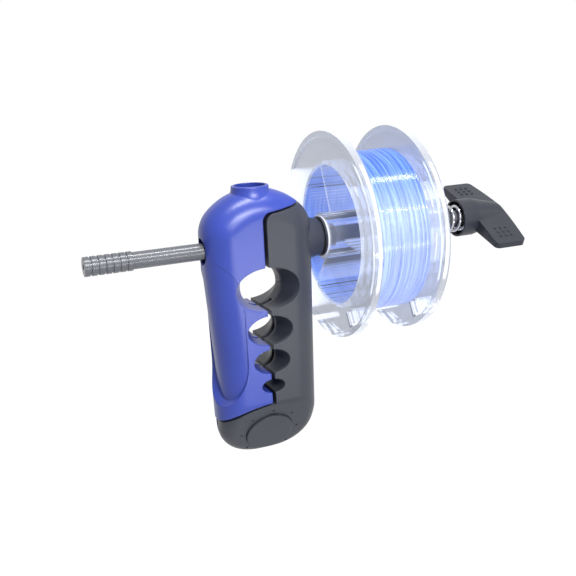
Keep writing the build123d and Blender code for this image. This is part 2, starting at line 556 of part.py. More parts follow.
handle = rod_x(HANDLE_LEFT_X, HANDLE_RIGHT_X - HANDLE_LEFT_X, HANDLE_GROOVE_RADIUS)
ring_pitch = (HANDLE_RIGHT_X - HANDLE_LEFT_X) / HANDLE_RINGS
for n in range(HANDLE_RINGS):
    bead = rod_x(HANDLE_LEFT_X + n * ring_pitch, ring_pitch * HANDLE_RING_SHARE, HANDLE_RING_RADIUS)
    handle += fillet(bead.edges().filter_by(GeomType.CIRCLE), HANDLE_RING_FILLET)
handle -= rod_x(HANDLE_RIGHT_X - HANDLE_PLUG_LENGTH, FAR, HANDLE_BORE_RADIUS)
handle -= cone_x(HANDLE_LEFT_X, HANDLE_DIMPLE_DEPTH, HANDLE_DIMPLE_RADIUS, HANDLE_DIMPLE_FLOOR_RADIUS)
save(handle, "handle_grip", (0.2, 0.2, 0.22))


# ---- Spool: two flanges, a drum, and a hub with ribs ----
def flange():
    """The left flange: a thin web inside a thicker rim, with a line clip cut in the web and a notch in the rim."""
    rim_inner = SPOOL_RADIUS - FLANGE_RIM_THICKNESS
    piece = ring_x(SPOOL_LEFT_X, FLANGE_RIM_WIDTH, SPOOL_RADIUS, rim_inner)
    piece += ring_x(SPOOL_LEFT_X + FLANGE_WEB_SINK, FLANGE_WEB, rim_inner, DRUM_RADIUS - DRUM_WALL)
    plane = along_x(SPOOL_LEFT_X, 90 - CLIP_TURN)
    middle = CLIP_OUTER_RADIUS - CLIP_LENGTH / 2
    frame = Pos(middle, 0) * Rectangle(CLIP_LENGTH, CLIP_WIDTH)
    tongue = Pos(middle - CLIP_SLIT, 0) * Rectangle(CLIP_LENGTH, CLIP_WIDTH - 2 * CLIP_SLIT)
    piece -= extrude(plane * (frame - tongue), amount=FLANGE_RIM_WIDTH)
    notch = along_x(SPOOL_LEFT_X, 90 - NOTCH_TURN) * Pos(SPOOL_RADIUS, 0) * Circle(NOTCH_RADIUS)
    return piece - extrude(notch, amount=FLANGE_RIM_WIDTH)


left_flange = flange()
save(left_flange, "spool_flange_left", (0.85, 0.85, 0.92))
save(mirror(left_flange, about=Plane.YZ.offset(SPOOL_MIDDLE_X)), "spool_flange_right", (0.85, 0.85, 0.92))
drum_inner = DRUM_RADIUS - DRUM_WALL
save(ring_x(WEB_LEFT_X, WEB_RIGHT_X - WEB_LEFT_X, DRUM_RADIUS, drum_inner), "spool_drum", (0.85, 0.85, 0.92))
hub = rod_x(HUB_LEFT_X, SPOOL_RIGHT_X - HUB_LEFT_X, HUB_BORE_RADIUS + HUB_WALL)
for n in range(RIB_COUNT):
    plane = along_x(SPOOL_LEFT_X + RIB_SINK, 90 - RIB_TURN - n * 360 / RIB_COUNT)
    rib = plane * Pos(drum_inner / 2, 0) * Rectangle(drum_inner + 1, RIB_THICKNESS)
    hub += extrude(rib, amount=SPOOL_WIDTH - 2 * RIB_SINK) & rod_x(SPOOL_LEFT_X, SPOOL_WIDTH, drum_inner)
hub -= rod_x(0, FAR, HUB_BORE_RADIUS)
save(hub, "spool_hub", (0.85, 0.85, 0.92))

# ---- Line: a plain pack on the drum, and its outermost layer as one wound strand ----
core_left, core_right = WEB_LEFT_X + LINE_END_GAP, WEB_RIGHT_X - LINE_END_GAP
save(ring_x(core_left, core_right - core_left, LINE_CORE_RADIUS, DRUM_RADIUS), "line_pack", (0.35, 0.55, 0.9))
line_radius = LINE_DIAMETER / 2
line_steps = 4 * LINE_TURNS
line_pitch = (core_right - core_left - LINE_DIAMETER) / line_steps
line_places = [core_left + line_radius + n * line_pitch for n in range(line_steps + 1)]
strand, strand_gap = coil(LINE_CORE_RADIUS + LINE_CLEARANCE + line_radius, line_places, line_radius)
print("least gap between the line's turns", round(strand_gap, 3), "mm")
save(strand, "line_outer_layer", (0.35, 0.6, 0.95))

# ---- Cone and washers, which press the spool against the bush ----
cone = cone_x(SPOOL_RIGHT_X - CONE_NOSE_LENGTH, CONE_NOSE_LENGTH, CONE_NOSE_TIP_RADIUS, NOSE_RADIUS)
cone += rod_x(SPOOL_RIGHT_X, SPOOL_SIDE_GAP, NOSE_RADIUS)
cone += rod_x(CONE_FACE_X, CONE_SHOULDER, CONE_SHOULDER_RADIUS)
cone += rod_x(CONE_BACK_X, CONE_NECK_LENGTH, CONE_NECK_RADIUS)
cone -= rod_x(0, FAR, SPINDLE_BORE)
save(cone, "centring_cone", (0.3, 0.31, 0.34))
cone_washer = ring_x(CONE_BACK_X, WASHER_THICKNESS, WASHER_RADIUS, CONE_NECK_RADIUS + STACK_GAP)
save(cone_washer, "cone_washer", (0.7, 0.7, 0.72))
save(ring_x(SEAT_X, WASHER_THICKNESS, WASHER_RADIUS, SPINDLE_BORE), "spring_seat", (0.7, 0.7, 0.72))

# ---- Spring: one closed turn at each end and open turns between ----
spring_radius = SPRING_WIRE / 2
open_pitch = (SPRING_LENGTH - SPRING_WIRE - 2 * SPRING_END_PITCH) / (SPRING_TURNS - 2)
steps = [SPRING_END_PITCH / 4] * 4 + [open_pitch / 4] * 4 * (SPRING_TURNS - 2) + [SPRING_END_PITCH / 4] * 4
spring_places = [SPRING_LEFT_X + spring_radius + sum(steps[:n]) for n in range(len(steps) + 1)]
spring, spring_gap = coil(SPRING_RADIUS, spring_places, spring_radius)
print("least gap between the spring's turns", round(spring_gap, 3), "mm")
save(spring, "tension_spring", (0.8, 0.8, 0.82))


# ---- Wing nut and its threaded insert ----
def wing_nut():
    """A hub with a recess for the spring's seat, and two flat wings that thin towards their tips."""
    hub_part = cone_x(WING_LEFT_X, NUT_RIGHT_X - WING_LEFT_X, NUT_HUB_RADIUS, NUT_NOSE_RADIUS)
    hub_part += rod_x(NUT_LEFT_X, WING_SET_BACK, NUT_HUB_RADIUS)
    half, right_x = WING_SPAN / 2, WING_LEFT_X + WING_WIDTH
    lying = Plane(
        origin=(0, 0, SPINDLE_Z),
        x_dir=(1, 0, 0),
        z_dir=(0, -sin(radians(NUT_TURN)), cos(radians(NUT_TURN))),
    )
    edge = ThreePointArc((right_x, -half), (right_x + WING_BULGE, 0), (right_x, half))
    rest = Polyline((right_x, half), (WING_LEFT_X, half), (WING_LEFT_X, -half), (right_x, -half))
    outline = make_face([edge, rest])
    outline = fillet(outline.vertices(), WING_CORNER)
    slab = extrude(lying * outline, amount=WING_ROOT_THICKNESS / 2, both=True)
    tip, root = WING_THICKNESS / 2, WING_ROOT_THICKNESS / 2
    side = [(-half - 1, tip), (0, root), (half + 1, tip), (half + 1, -tip), (0, -root), (-half - 1, -tip)]
    wedge = extrude(along_x(NUT_LEFT_X, NUT_TURN) * make_face(Polyline(*side, close=True)), amount=FAR)
    wings = slab & wedge
    slope = (root - tip) / (half + 1)
    for side_sign in (-1, 1):
        for column in (-1, 0, 1):
            for row in (0, 1, 2):
                along = half - WING_DOT_INSET - row * WING_DOT_PITCH
                x = WING_LEFT_X + WING_WIDTH / 2 + column * WING_DOT_PITCH
                height = root - slope * along + WING_DOT_RISE
                dot = lying * Pos(x, side_sign * along) * Circle(WING_DOT_RADIUS)
                wings += extrude(dot, amount=height, both=True)
    piece = hub_part + wings
    piece -= rod_x(0, NUT_FLOOR_X, NUT_RECESS_RADIUS)
    piece -= rod_x(NUT_FLOOR_X, NUT_RIGHT_X - NUT_BORE_END - NUT_FLOOR_X, NUT_BORE_RADIUS)
    return piece


insert_plane = along_x(NUT_FLOOR_X, NUT_TURN)
insert = extrude(insert_plane * RegularPolygon(INSERT_FLATS / 2, 6, major_radius=False), amount=INSERT_LENGTH)
save(wing_nut() - insert, "wing_nut", (0.27, 0.28, 0.31))
save(insert - rod_x(0, FAR, SPINDLE_BORE), "nut_insert", (0.8, 0.65, 0.3))
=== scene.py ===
from math import pi, radians

import bmesh
import bpy
from mathutils import Matrix, Vector


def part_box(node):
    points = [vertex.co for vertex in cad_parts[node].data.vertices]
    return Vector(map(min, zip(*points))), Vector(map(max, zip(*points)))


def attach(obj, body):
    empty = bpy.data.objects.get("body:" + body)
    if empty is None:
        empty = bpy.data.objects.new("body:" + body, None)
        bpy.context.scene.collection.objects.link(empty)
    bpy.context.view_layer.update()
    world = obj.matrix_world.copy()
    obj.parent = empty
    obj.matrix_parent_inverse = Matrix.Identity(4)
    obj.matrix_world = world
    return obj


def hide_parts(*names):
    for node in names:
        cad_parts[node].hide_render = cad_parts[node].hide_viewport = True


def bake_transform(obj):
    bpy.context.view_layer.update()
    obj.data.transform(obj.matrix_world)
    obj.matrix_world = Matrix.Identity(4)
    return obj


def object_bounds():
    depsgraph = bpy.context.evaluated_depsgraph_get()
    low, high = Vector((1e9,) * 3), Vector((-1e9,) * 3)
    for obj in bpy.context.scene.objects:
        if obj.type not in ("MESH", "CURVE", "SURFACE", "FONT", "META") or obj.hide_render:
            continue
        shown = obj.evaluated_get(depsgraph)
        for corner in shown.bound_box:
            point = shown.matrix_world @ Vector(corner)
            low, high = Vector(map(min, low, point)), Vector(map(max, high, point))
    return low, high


# ---- Frame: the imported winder, in metres ----
# The spindle lies along X, the rod holes lie along Y, and Z runs up to the dome.
# The CAD model's box is measured first, before anything is added to it.
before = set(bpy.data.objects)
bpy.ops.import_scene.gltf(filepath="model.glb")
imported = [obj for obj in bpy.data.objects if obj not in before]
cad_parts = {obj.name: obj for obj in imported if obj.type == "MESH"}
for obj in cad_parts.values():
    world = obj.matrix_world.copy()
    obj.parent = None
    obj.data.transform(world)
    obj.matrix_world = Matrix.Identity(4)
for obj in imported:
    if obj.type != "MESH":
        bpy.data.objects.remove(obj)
cad_low, cad_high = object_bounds()
spindle_z = (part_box("spindle")[0].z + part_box("spindle")[1].z) / 2

# ---- Camera: a short telephoto, a little above the spool and to the left of the jaws' front ----
# It stands about 35 cm from the grip and looks a little down on it.
camera_data = bpy.data.cameras.new("camera")
camera_data.sensor_width = 36.0
camera_data.lens = 59.4
camera = bpy.data.objects.new("camera", camera_data)
bpy.context.scene.collection.objects.link(camera)
camera_place = Vector((-0.1153, -0.3121, 0.1098))
camera_sight = Vector((0.3650, 0.8972, -0.2488))
camera_roll = radians(-2.88)
camera.location = camera_place
camera.rotation_mode = "QUATERNION"
camera.rotation_quaternion = (
    camera_sight.to_track_quat("-Z", "Y") @ Matrix.Rotation(camera_roll, 3, "Z").to_quaternion()
)
bpy.context.scene.camera = camera

# ---- Studio: a white surround that the camera, gloss and clear plastic see, and a pale floor far below ----
# The surround lights the winder evenly and faintly. Three soft lamps shape it from the front, above and the
# right, and two long narrow ones draw bright bands on the line and on the underside of the spool.
scene = bpy.context.scene
scene.view_settings.view_transform = "Standard"
surround = bpy.data.worlds.new("white surround")
scene.world = surround
surround.use_nodes = True
surround_tree = surround.node_tree
surround_tree.nodes.clear()
world_out = surround_tree.nodes.new("ShaderNodeOutputWorld")
seen = surround_tree.nodes.new("ShaderNodeBackground")
seen.inputs["Color"].default_value = (1, 1, 1, 1)
seen.inputs["Strength"].default_value = 1.0
lighting = surround_tree.nodes.new("ShaderNodeBackground")
lighting.inputs["Color"].default_value = (0.93, 0.96, 1.0, 1)
lighting.inputs["Strength"].default_value = 0.12


def seen_directly(tree):
    """1 for the rays of the camera, of gloss and of clear plastic, and 0 for those that only light."""
    path = tree.nodes.new("ShaderNodeLightPath")
    first = tree.nodes.new("ShaderNodeMath")
    first.operation = "MAXIMUM"
    tree.links.new(path.outputs["Is Camera Ray"], first.inputs[0])
    tree.links.new(path.outputs["Is Glossy Ray"], first.inputs[1])
    both = tree.nodes.new("ShaderNodeMath")
    both.operation = "MAXIMUM"
    tree.links.new(first.outputs[0], both.inputs[0])
    tree.links.new(path.outputs["Is Transmission Ray"], both.inputs[1])
    return both.outputs[0]


surround_mix = surround_tree.nodes.new("ShaderNodeMixShader")
surround_tree.links.new(seen_directly(surround_tree), surround_mix.inputs["Fac"])
surround_tree.links.new(lighting.outputs[0], surround_mix.inputs[1])
surround_tree.links.new(seen.outputs[0], surround_mix.inputs[2])
surround_tree.links.new(surround_mix.outputs[0], world_out.inputs["Surface"])


def softbox(name, place, aim, width, height, power):
    """A rectangular lamp of that power in watts at a place, turned to shine at aim."""
    data = bpy.data.lights.new(name, "AREA")
    data.shape = "RECTANGLE"
    data.size, data.size_y = width, height
    data.energy = power
    lamp = bpy.data.objects.new(name, data)
    scene.collection.objects.link(lamp)
    lamp.location = place
    lamp.rotation_mode = "QUATERNION"
    lamp.rotation_quaternion = (Vector(aim) - Vector(place)).to_track_quat("-Z", "Y")
    return lamp


grip_middle = (0.02, 0, 0.01)
line_middle = (0.043, 0, 0.05)
softbox("key softbox", (-0.02, -0.66, 0.36), grip_middle, width=0.20, height=0.30, power=1.5)
softbox("overhead softbox", (0.03, -0.12, 0.62), grip_middle, width=0.42, height=0.07, power=4.2)
softbox("side softbox", (0.75, -0.40, 0.20), grip_middle, width=0.3, height=0.5, power=0.8)
softbox("line strip", (0.04, -0.50, 0.36), line_middle, width=0.36, height=0.014, power=2.6)
softbox("low strip", (0.10, -0.50, -0.10), line_middle, width=0.36, height=0.05, power=0.9)

floor_drop = 0.13
floor_half = 2.5
floor_mesh = bpy.data.meshes.new("floor")
floor_z = cad_low.z - floor_drop
floor_sides = ((-1, -1), (1, -1), (1, 1), (-1, 1))
floor_corners = [(x * floor_half, y * floor_half, floor_z) for x, y in floor_sides]
floor_mesh.from_pydata(floor_corners, [], [(0, 1, 2, 3)])
floor = bpy.data.objects.new("floor", floor_mesh)
scene.collection.objects.link(floor)
floor_material = bpy.data.materials.new("pale floor")
floor_material.use_nodes = True
floor_tree = floor_material.node_tree
floor_tree.nodes.clear()
floor_out = floor_tree.nodes.new("ShaderNodeOutputMaterial")
floor_matte = floor_tree.nodes.new("ShaderNodeBsdfDiffuse")
floor_matte.inputs["Color"].default_value = (0.92, 0.92, 0.93, 1)
floor_white = floor_tree.nodes.new("ShaderNodeEmission")
floor_white.inputs["Color"].default_value = (1, 1, 1, 1)
floor_white.inputs["Strength"].default_value = 1.06
floor_share = floor_tree.nodes.new("ShaderNodeMath")
floor_share.operation = "MULTIPLY"
floor_share.inputs[1].default_value = 0.95
floor_mix = floor_tree.nodes.new("ShaderNodeMixShader")
floor_tree.links.new(seen_directly(floor_tree), floor_share.inputs[0])
floor_tree.links.new(floor_share.outputs[0], floor_mix.inputs["Fac"])
floor_tree.links.new(floor_matte.outputs[0], floor_mix.inputs[1])
floor_tree.links.new(floor_white.outputs[0], floor_mix.inputs[2])
floor_tree.links.new(floor_mix.outputs[0], floor_out.inputs["Surface"])
floor_mesh.materials.append(floor_material)

# A pale blue card behind the camera, less bright than the surround, shows only in reflections. It gives
# bright metal and clear plastic their edges.
card_left, card_right = -0.40, 0.10
card_bottom, card_top = -0.40, 0.05
card_back = -0.95
card_mesh = bpy.data.meshes.new("blue card")
card_corners = [
    (card_left, card_back, card_bottom),
    (card_right, card_back, card_bottom),
    (card_right, card_back, card_top),
    (card_left, card_back, card_top),
]
card_mesh.from_pydata(card_corners, [], [(0, 1, 2, 3)])
card = bpy.data.objects.new("blue card", card_mesh)
scene.collection.objects.link(card)
card_material = bpy.data.materials.new("blue card")
card_material.use_nodes = True
card_bsdf = card_material.node_tree.nodes["Principled BSDF"]
card_bsdf.inputs["Base Color"].default_value = (0.02, 0.02, 0.025, 1)
card_bsdf.inputs["Emission Color"].default_value = (0.62, 0.72, 0.90, 1)
card_bsdf.inputs["Emission Strength"].default_value = 0.55
card_bsdf.inputs["Specular IOR Level"].default_value = 0.0
card_mesh.materials.append(card_material)
card.visible_camera = False
card.visible_diffuse = False
card.visible_transmission = False
card.visible_shadow = False

# ---- Grip shell: the left jaw, the hood over the right one and the rear of the foot, in blue plastic ----
# It is moulded in one, with a thumb scoop on its front edge and a raised collar round the bore in the dome.
# The plastic is satin, and its edges are softened by half a millimetre.
mm = 0.001
merge_distance = 0.002 * mm


def moulded_plastic(name, colour, worn, roughness, grain=0.22, depth=0.004, edge=0.3, shine=0.5):
    """Satin moulded plastic: a fine even grain, a cloudy gloss, faint changes of shade and softened edges.

    The grain's size and depth and the edge's radius are in millimetres.
    """
    material = bpy.data.materials.new(name)
    material.use_nodes = True
    tree = material.node_tree
    bsdf = tree.nodes["Principled BSDF"]
    place = tree.nodes.new("ShaderNodeTexCoord")
    clouds = tree.nodes.new("ShaderNodeTexNoise")
    clouds.inputs["Scale"].default_value = 55.0
    clouds.inputs["Detail"].default_value = 3.0
    tree.links.new(place.outputs["Object"], clouds.inputs["Vector"])
    shade = tree.nodes.new("ShaderNodeMix")
    shade.data_type = "RGBA"
    shade.inputs[6].default_value = (*colour, 1)
    shade.inputs[7].default_value = (*worn, 1)
    fade = tree.nodes.new("ShaderNodeMapRange")
    fade.inputs["From Min"].default_value = 0.35
    fade.inputs["From Max"].default_value = 0.75
    fade.inputs["To Min"].default_value = 0.0
    fade.inputs["To Max"].default_value = 0.6
    tree.links.new(clouds.outputs["Fac"], fade.inputs["Value"])
    tree.links.new(fade.outputs["Result"], shade.inputs[0])
    tree.links.new(shade.outputs[2], bsdf.inputs["Base Color"])
    gloss = tree.nodes.new("ShaderNodeMapRange")
    gloss.inputs["To Min"].default_value = roughness - 0.04
    gloss.inputs["To Max"].default_value = roughness + 0.05
    tree.links.new(clouds.outputs["Fac"], gloss.inputs["Value"])
    tree.links.new(gloss.outputs["Result"], bsdf.inputs["Roughness"])
    fine = tree.nodes.new("ShaderNodeTexNoise")
    fine.inputs["Scale"].default_value = 1 / (grain * mm)
    fine.inputs["Detail"].default_value = 2.0
    tree.links.new(place.outputs["Object"], fine.inputs["Vector"])
    bump = tree.nodes.new("ShaderNodeBump")
    bump.inputs["Strength"].default_value = 0.5
    bump.inputs["Distance"].default_value = depth * mm
    tree.links.new(fine.outputs["Fac"], bump.inputs["Height"])
    soft = tree.nodes.new("ShaderNodeBevel")
    soft.samples = 4
    soft.inputs["Radius"].default_value = edge * mm
    tree.links.new(soft.outputs["Normal"], bump.inputs["Normal"])
    tree.links.new(bump.outputs["Normal"], bsdf.inputs["Normal"])
    bsdf.inputs["IOR"].default_value = 1.45
    bsdf.inputs["Specular IOR Level"].default_value = shine
    return material


def dressed(node, name, material, body, crease=32.0):
    """A merged copy of a CAD node that stands for it, shaded smooth up to the crease's angle in degrees."""
    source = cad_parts[node].data
    work = bmesh.new()
    work.from_mesh(source)
    for layer in (work.loops.layers.float_vector, work.loops.layers.uv):
        for key in list(layer.keys()):
            layer.remove(layer[key])
    bmesh.ops.remove_doubles(work, verts=work.verts, dist=merge_distance)
    work.verts.index_update()
    points = [vertex.co.copy() for vertex in work.verts]
    faces = [[vertex.index for vertex in face.verts] for face in work.faces]
    work.free()
    mesh = bpy.data.meshes.new(name)
    mesh.from_pydata(points, [], faces)
    mesh.shade_smooth()
    mesh.set_sharp_from_angle(angle=radians(crease))
    mesh.materials.append(material)
    piece = bpy.data.objects.new(name, mesh)
    scene.collection.objects.link(piece)
    weigh = piece.modifiers.new("even shading", "WEIGHTED_NORMAL")
    weigh.keep_sharp = True
    if body:
        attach(piece, body)
    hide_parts(node)
    return piece


blue = (0.024, 0.046, 0.29)
worn_blue = (0.031, 0.055, 0.33)
blue_plastic = moulded_plastic("blue satin plastic", blue, worn_blue, 0.30, edge=0.5)
dressed("body_shell", "grip_shell", blue_plastic, "grip")

# ---- Anchor: a steel plate and two screws inside the shell, with the spindle's collar, pin and washer ----
# The plate takes the collar's pull through a turned brass washer. The rest are plain zinc-plated steel, and
# they are seen only as a glint between the jaws.


def metal(name, colour, roughness, scratch=0.25):
    """Plain metal, with short fine scratches in its gloss."""
    material = bpy.data.materials.new(name)
    material.use_nodes = True
    tree = material.node_tree
    bsdf = tree.nodes["Principled BSDF"]
    bsdf.inputs["Base Color"].default_value = (*colour, 1)
    bsdf.inputs["Metallic"].default_value = 1.0
    place = tree.nodes.new("ShaderNodeTexCoord")
    stretch = tree.nodes.new("ShaderNodeMapping")
    stretch.inputs["Scale"].default_value = (300.0, 1800.0, 1800.0)
    scratches = tree.nodes.new("ShaderNodeTexNoise")
    scratches.inputs["Scale"].default_value = 1.0
    scratches.inputs["Detail"].default_value = 2.0
    tree.links.new(place.outputs["Object"], stretch.inputs["Vector"])
    tree.links.new(stretch.outputs["Vector"], scratches.inputs["Vector"])
    gloss = tree.nodes.new("ShaderNodeMapRange")
    gloss.inputs["To Min"].default_value = roughness * (1 - scratch)
    gloss.inputs["To Max"].default_value = roughness * (1 + scratch)
    tree.links.new(scratches.outputs["Fac"], gloss.inputs["Value"])
    tree.links.new(gloss.outputs["Result"], bsdf.inputs["Roughness"])
    return material


dull_steel = metal("dull steel", (0.50, 0.50, 0.52), 0.35)
for node, body in (
    ("anchor_plate", "grip"),
    ("anchor_plate_screws", "grip"),
    ("anchor_collar", "spindle"),
    ("anchor_pin", "spindle"),
):
    dressed(node, node.replace("anchor_", "anchor_steel_"), dull_steel, body)
brass = metal("brass", (0.80, 0.58, 0.25), 0.3)
dressed("anchor_washer", "anchor_washer_brass", brass, "carriage")

# ---- Pivot: a steel screw and nut at the middle of the foot ----
# The grey jaw turns on the screw, whose head and nut sit in pockets of the shell.
for node in ("pivot_screw", "pivot_nut"):
    dressed(node, node + "_steel", dull_steel, "grip")

# ---- Jaw: the right jaw with the foot and the spool's boss, in dark grey plastic ----
# It is moulded in one with a sloped chin that carries a round cap, pressed into its seat.
grey = (0.034, 0.037, 0.049)
worn_grey = (0.042, 0.045, 0.058)
grey_plastic = moulded_plastic("dark grey satin plastic", grey, worn_grey, 0.38, edge=0.5, shine=0.32)
dressed("jaw_shell", "jaw_shell_grey", grey_plastic, "jaw")
dressed("pivot_cap", "pivot_cap_grey", grey_plastic, "jaw")

# ---- Bush and drag ring: the end of the boss on which the spool turns ----
# The bush is a dark nose inside the spool's hub. A thin ring of slick pale plastic lies between the two.
dark = (0.030, 0.032, 0.042)
worn_dark = (0.038, 0.041, 0.052)
dark_plastic = moulded_plastic("dark plastic", dark, worn_dark, 0.42)
ring_plastic = moulded_plastic("pale ring plastic", (0.75, 0.77, 0.84), (0.8, 0.8, 0.85), 0.35, edge=0.1)
dressed("spool_bush", "spool_bush_dark", dark_plastic, "jaw")
dressed("drag_ring", "drag_ring_pale", ring_plastic, "jaw")

# ---- Spindle and handle: a dark grey rod through shell, jaw and spool ----
# A ribbed sleeve of the same shade is pushed on its free end. Both have a smoother skin than the shells.
rod_grey = (0.090, 0.094, 0.108)
worn_rod = (0.110, 0.114, 0.130)
rod_plastic = moulded_plastic("dark grey rod", rod_grey, worn_rod, 0.24, grain=0.8, depth=0.0003, edge=0.1)
dressed("spindle", "spindle_rod", rod_plastic, "spindle")
dressed("handle_grip", "handle_ribbed", rod_plastic, "spindle")

# ---- Spool: two flanges, a drum and a ribbed hub of clear plastic with a faint lilac tint ----
# Each flange has a rim, a clip for the line and a notch. The drum and the hub are clearer than the flanges.


def clear_plastic(name, tint, face, rim, roughness, glow):
    """Clear moulded plastic: milky by the share face where seen square on, and by rim where seen along.

    The glow stands for the white surround's light that spreads inside the plastic.
    """
    material = bpy.data.materials.new(name)
    material.use_nodes = True
    tree = material.node_tree
    milk = tree.nodes["Principled BSDF"]
    milk.inputs["Base Color"].default_value = (*tint, 1)
    milk.inputs["Roughness"].default_value = 0.35
    milk.inputs["Emission Color"].default_value = (0.78, 0.86, 1.0, 1)
    milk.inputs["Emission Strength"].default_value = glow
    slant = tree.nodes.new("ShaderNodeLayerWeight")
    slant.inputs["Blend"].default_value = 0.5
    share = tree.nodes.new("ShaderNodeMapRange")
    share.inputs["From Min"].default_value = 0.15
    share.inputs["To Min"].default_value = face
    share.inputs["To Max"].default_value = rim
    tree.links.new(slant.outputs["Facing"], share.inputs["Value"])
    through = tree.nodes.new("ShaderNodeBsdfTransparent")
    through.inputs["Color"].default_value = (0.985, 0.99, 1.0, 1)
    body = tree.nodes.new("ShaderNodeMixShader")
    tree.links.new(share.outputs["Result"], body.inputs["Fac"])
    tree.links.new(through.outputs[0], body.inputs[1])
    tree.links.new(milk.outputs[0], body.inputs[2])
    place = tree.nodes.new("ShaderNodeTexCoord")
    clouds = tree.nodes.new("ShaderNodeTexNoise")
    clouds.inputs["Scale"].default_value = 90.0
    tree.links.new(place.outputs["Object"], clouds.inputs["Vector"])
    gloss = tree.nodes.new("ShaderNodeMapRange")
    gloss.inputs["To Min"].default_value = roughness * 0.5
    gloss.inputs["To Max"].default_value = roughness * 1.5
    tree.links.new(clouds.outputs["Fac"], gloss.inputs["Value"])
    shine = tree.nodes.new("ShaderNodeBsdfGlossy")
    shine.inputs["Color"].default_value = (0.95, 0.96, 1.0, 1)
    tree.links.new(gloss.outputs["Result"], shine.inputs["Roughness"])
    edge = tree.nodes.new("ShaderNodeFresnel")
    edge.inputs["IOR"].default_value = 1.38
    coat = tree.nodes.new("ShaderNodeMixShader")
    tree.links.new(edge.outputs["Fac"], coat.inputs["Fac"])
    tree.links.new(body.outputs[0], coat.inputs[1])
    tree.links.new(shine.outputs[0], coat.inputs[2])
    tree.links.new(coat.outputs[0], tree.nodes["Material Output"].inputs["Surface"])
    return material


flange_tint = (0.90, 0.92, 1.0)
hub_tint = (0.85, 0.89, 1.0)
flange_plastic = clear_plastic(
    "clear spool plastic", flange_tint, face=0.16, rim=0.55, roughness=0.06, glow=0.98
)
hub_plastic = clear_plastic("clear hub plastic", hub_tint, face=0.04, rim=0.36, roughness=0.04, glow=0.85)
for node in ("spool_flange_left", "spool_flange_right"):
    dressed(node, node + "_clear", flange_plastic, "spool")
for node in ("spool_drum", "spool_hub"):
    dressed(node, node + "_clear", hub_plastic, "spool")

# ---- Line: fine blue nylon, wound turn beside turn on the drum ----
# A pack of older turns lies under it. The top layer is one strand in a close spiral that wanders a little.
deep_above = 24 * mm
pale_below = 8 * mm


def nylon(name, deep, pale, glow, painted_pale_share):
    """Blue nylon line: streaks of shade run round the drum, and a glow stands for the light soaking through.

    The line is painted paler, towards white, by the painted paling share given, from a height deep_above the
    spindle down to one pale_below above it. This paling is painted light, fixed to the spool so that it
    turns with it.
    """
    material = bpy.data.materials.new(name)
    material.use_nodes = True
    tree = material.node_tree
    bsdf = tree.nodes["Principled BSDF"]
    bsdf.inputs["Roughness"].default_value = 0.12
    bsdf.inputs["IOR"].default_value = 1.62
    place = tree.nodes.new("ShaderNodeTexCoord")
    stretch = tree.nodes.new("ShaderNodeMapping")
    stretch.inputs["Scale"].default_value = (1500.0, 45.0, 45.0)
    tree.links.new(place.outputs["Object"], stretch.inputs["Vector"])
    streaks = tree.nodes.new("ShaderNodeTexNoise")
    streaks.inputs["Scale"].default_value = 1.0
    streaks.inputs["Detail"].default_value = 3.0
    tree.links.new(stretch.outputs["Vector"], streaks.inputs["Vector"])
    shades = tree.nodes.new("ShaderNodeValToRGB")
    shades.color_ramp.elements[0].position = 0.36
    shades.color_ramp.elements[0].color = (*deep, 1)
    shades.color_ramp.elements[1].position = 0.64
    shades.color_ramp.elements[1].color = (*pale, 1)
    tree.links.new(streaks.outputs["Fac"], shades.inputs["Fac"])
    # Painted light: lower on the drum the line is painted paler, towards white, as where light falls on it.
    apart = tree.nodes.new("ShaderNodeSeparateXYZ")
    tree.links.new(place.outputs["Object"], apart.inputs["Vector"])
    height = tree.nodes.new("ShaderNodeMapRange")
    height.inputs["From Min"].default_value = spindle_z + deep_above
    height.inputs["From Max"].default_value = spindle_z + pale_below
    tree.links.new(apart.outputs["Z"], height.inputs["Value"])
    painted_pale_mix = tree.nodes.new("ShaderNodeMix")
    painted_pale_mix.data_type = "RGBA"
    painted_pale_mix.inputs[7].default_value = (0.86, 0.91, 1.0, 1)
    painted_pale_amount = tree.nodes.new("ShaderNodeMath")
    painted_pale_amount.operation = "MULTIPLY"
    painted_pale_amount.inputs[1].default_value = painted_pale_share
    tree.links.new(height.outputs["Result"], painted_pale_amount.inputs[0])
    tree.links.new(painted_pale_amount.outputs[0], painted_pale_mix.inputs[0])
    tree.links.new(shades.outputs["Color"], painted_pale_mix.inputs[6])
    tree.links.new(painted_pale_mix.outputs[2], bsdf.inputs["Base Color"])
    tree.links.new(painted_pale_mix.outputs[2], bsdf.inputs["Emission Color"])
    bsdf.inputs["Emission Strength"].default_value = glow
    return material


# The top layer is painted paler lower on the drum, by a share of 0.30, as painted light.
line_material = nylon("blue nylon line", (0.05, 0.13, 0.60), (0.15, 0.28, 0.80), glow=0.13, painted_pale_share=0.30)
# The under layers are painted paler and given a stronger glow. This is painted light, for the light that
# comes through the line into the drum.
line_below = nylon("blue nylon under layers with painted glow", (0.09, 0.22, 0.76), (0.20, 0.37, 0.90), glow=0.30, painted_pale_share=0.04)

pack_low, pack_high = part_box("line_pack")
pack_radius = (pack_high.z - pack_low.z) / 2
strand_radius = 0.16 * mm
strand_turns = 74
strand_sides = 6
strand_lift = 1.6 * strand_radius
points_per_turn = 84
strand_wander = 0.9 * mm
wander_scale = (900.0, 26.0, 26.0)

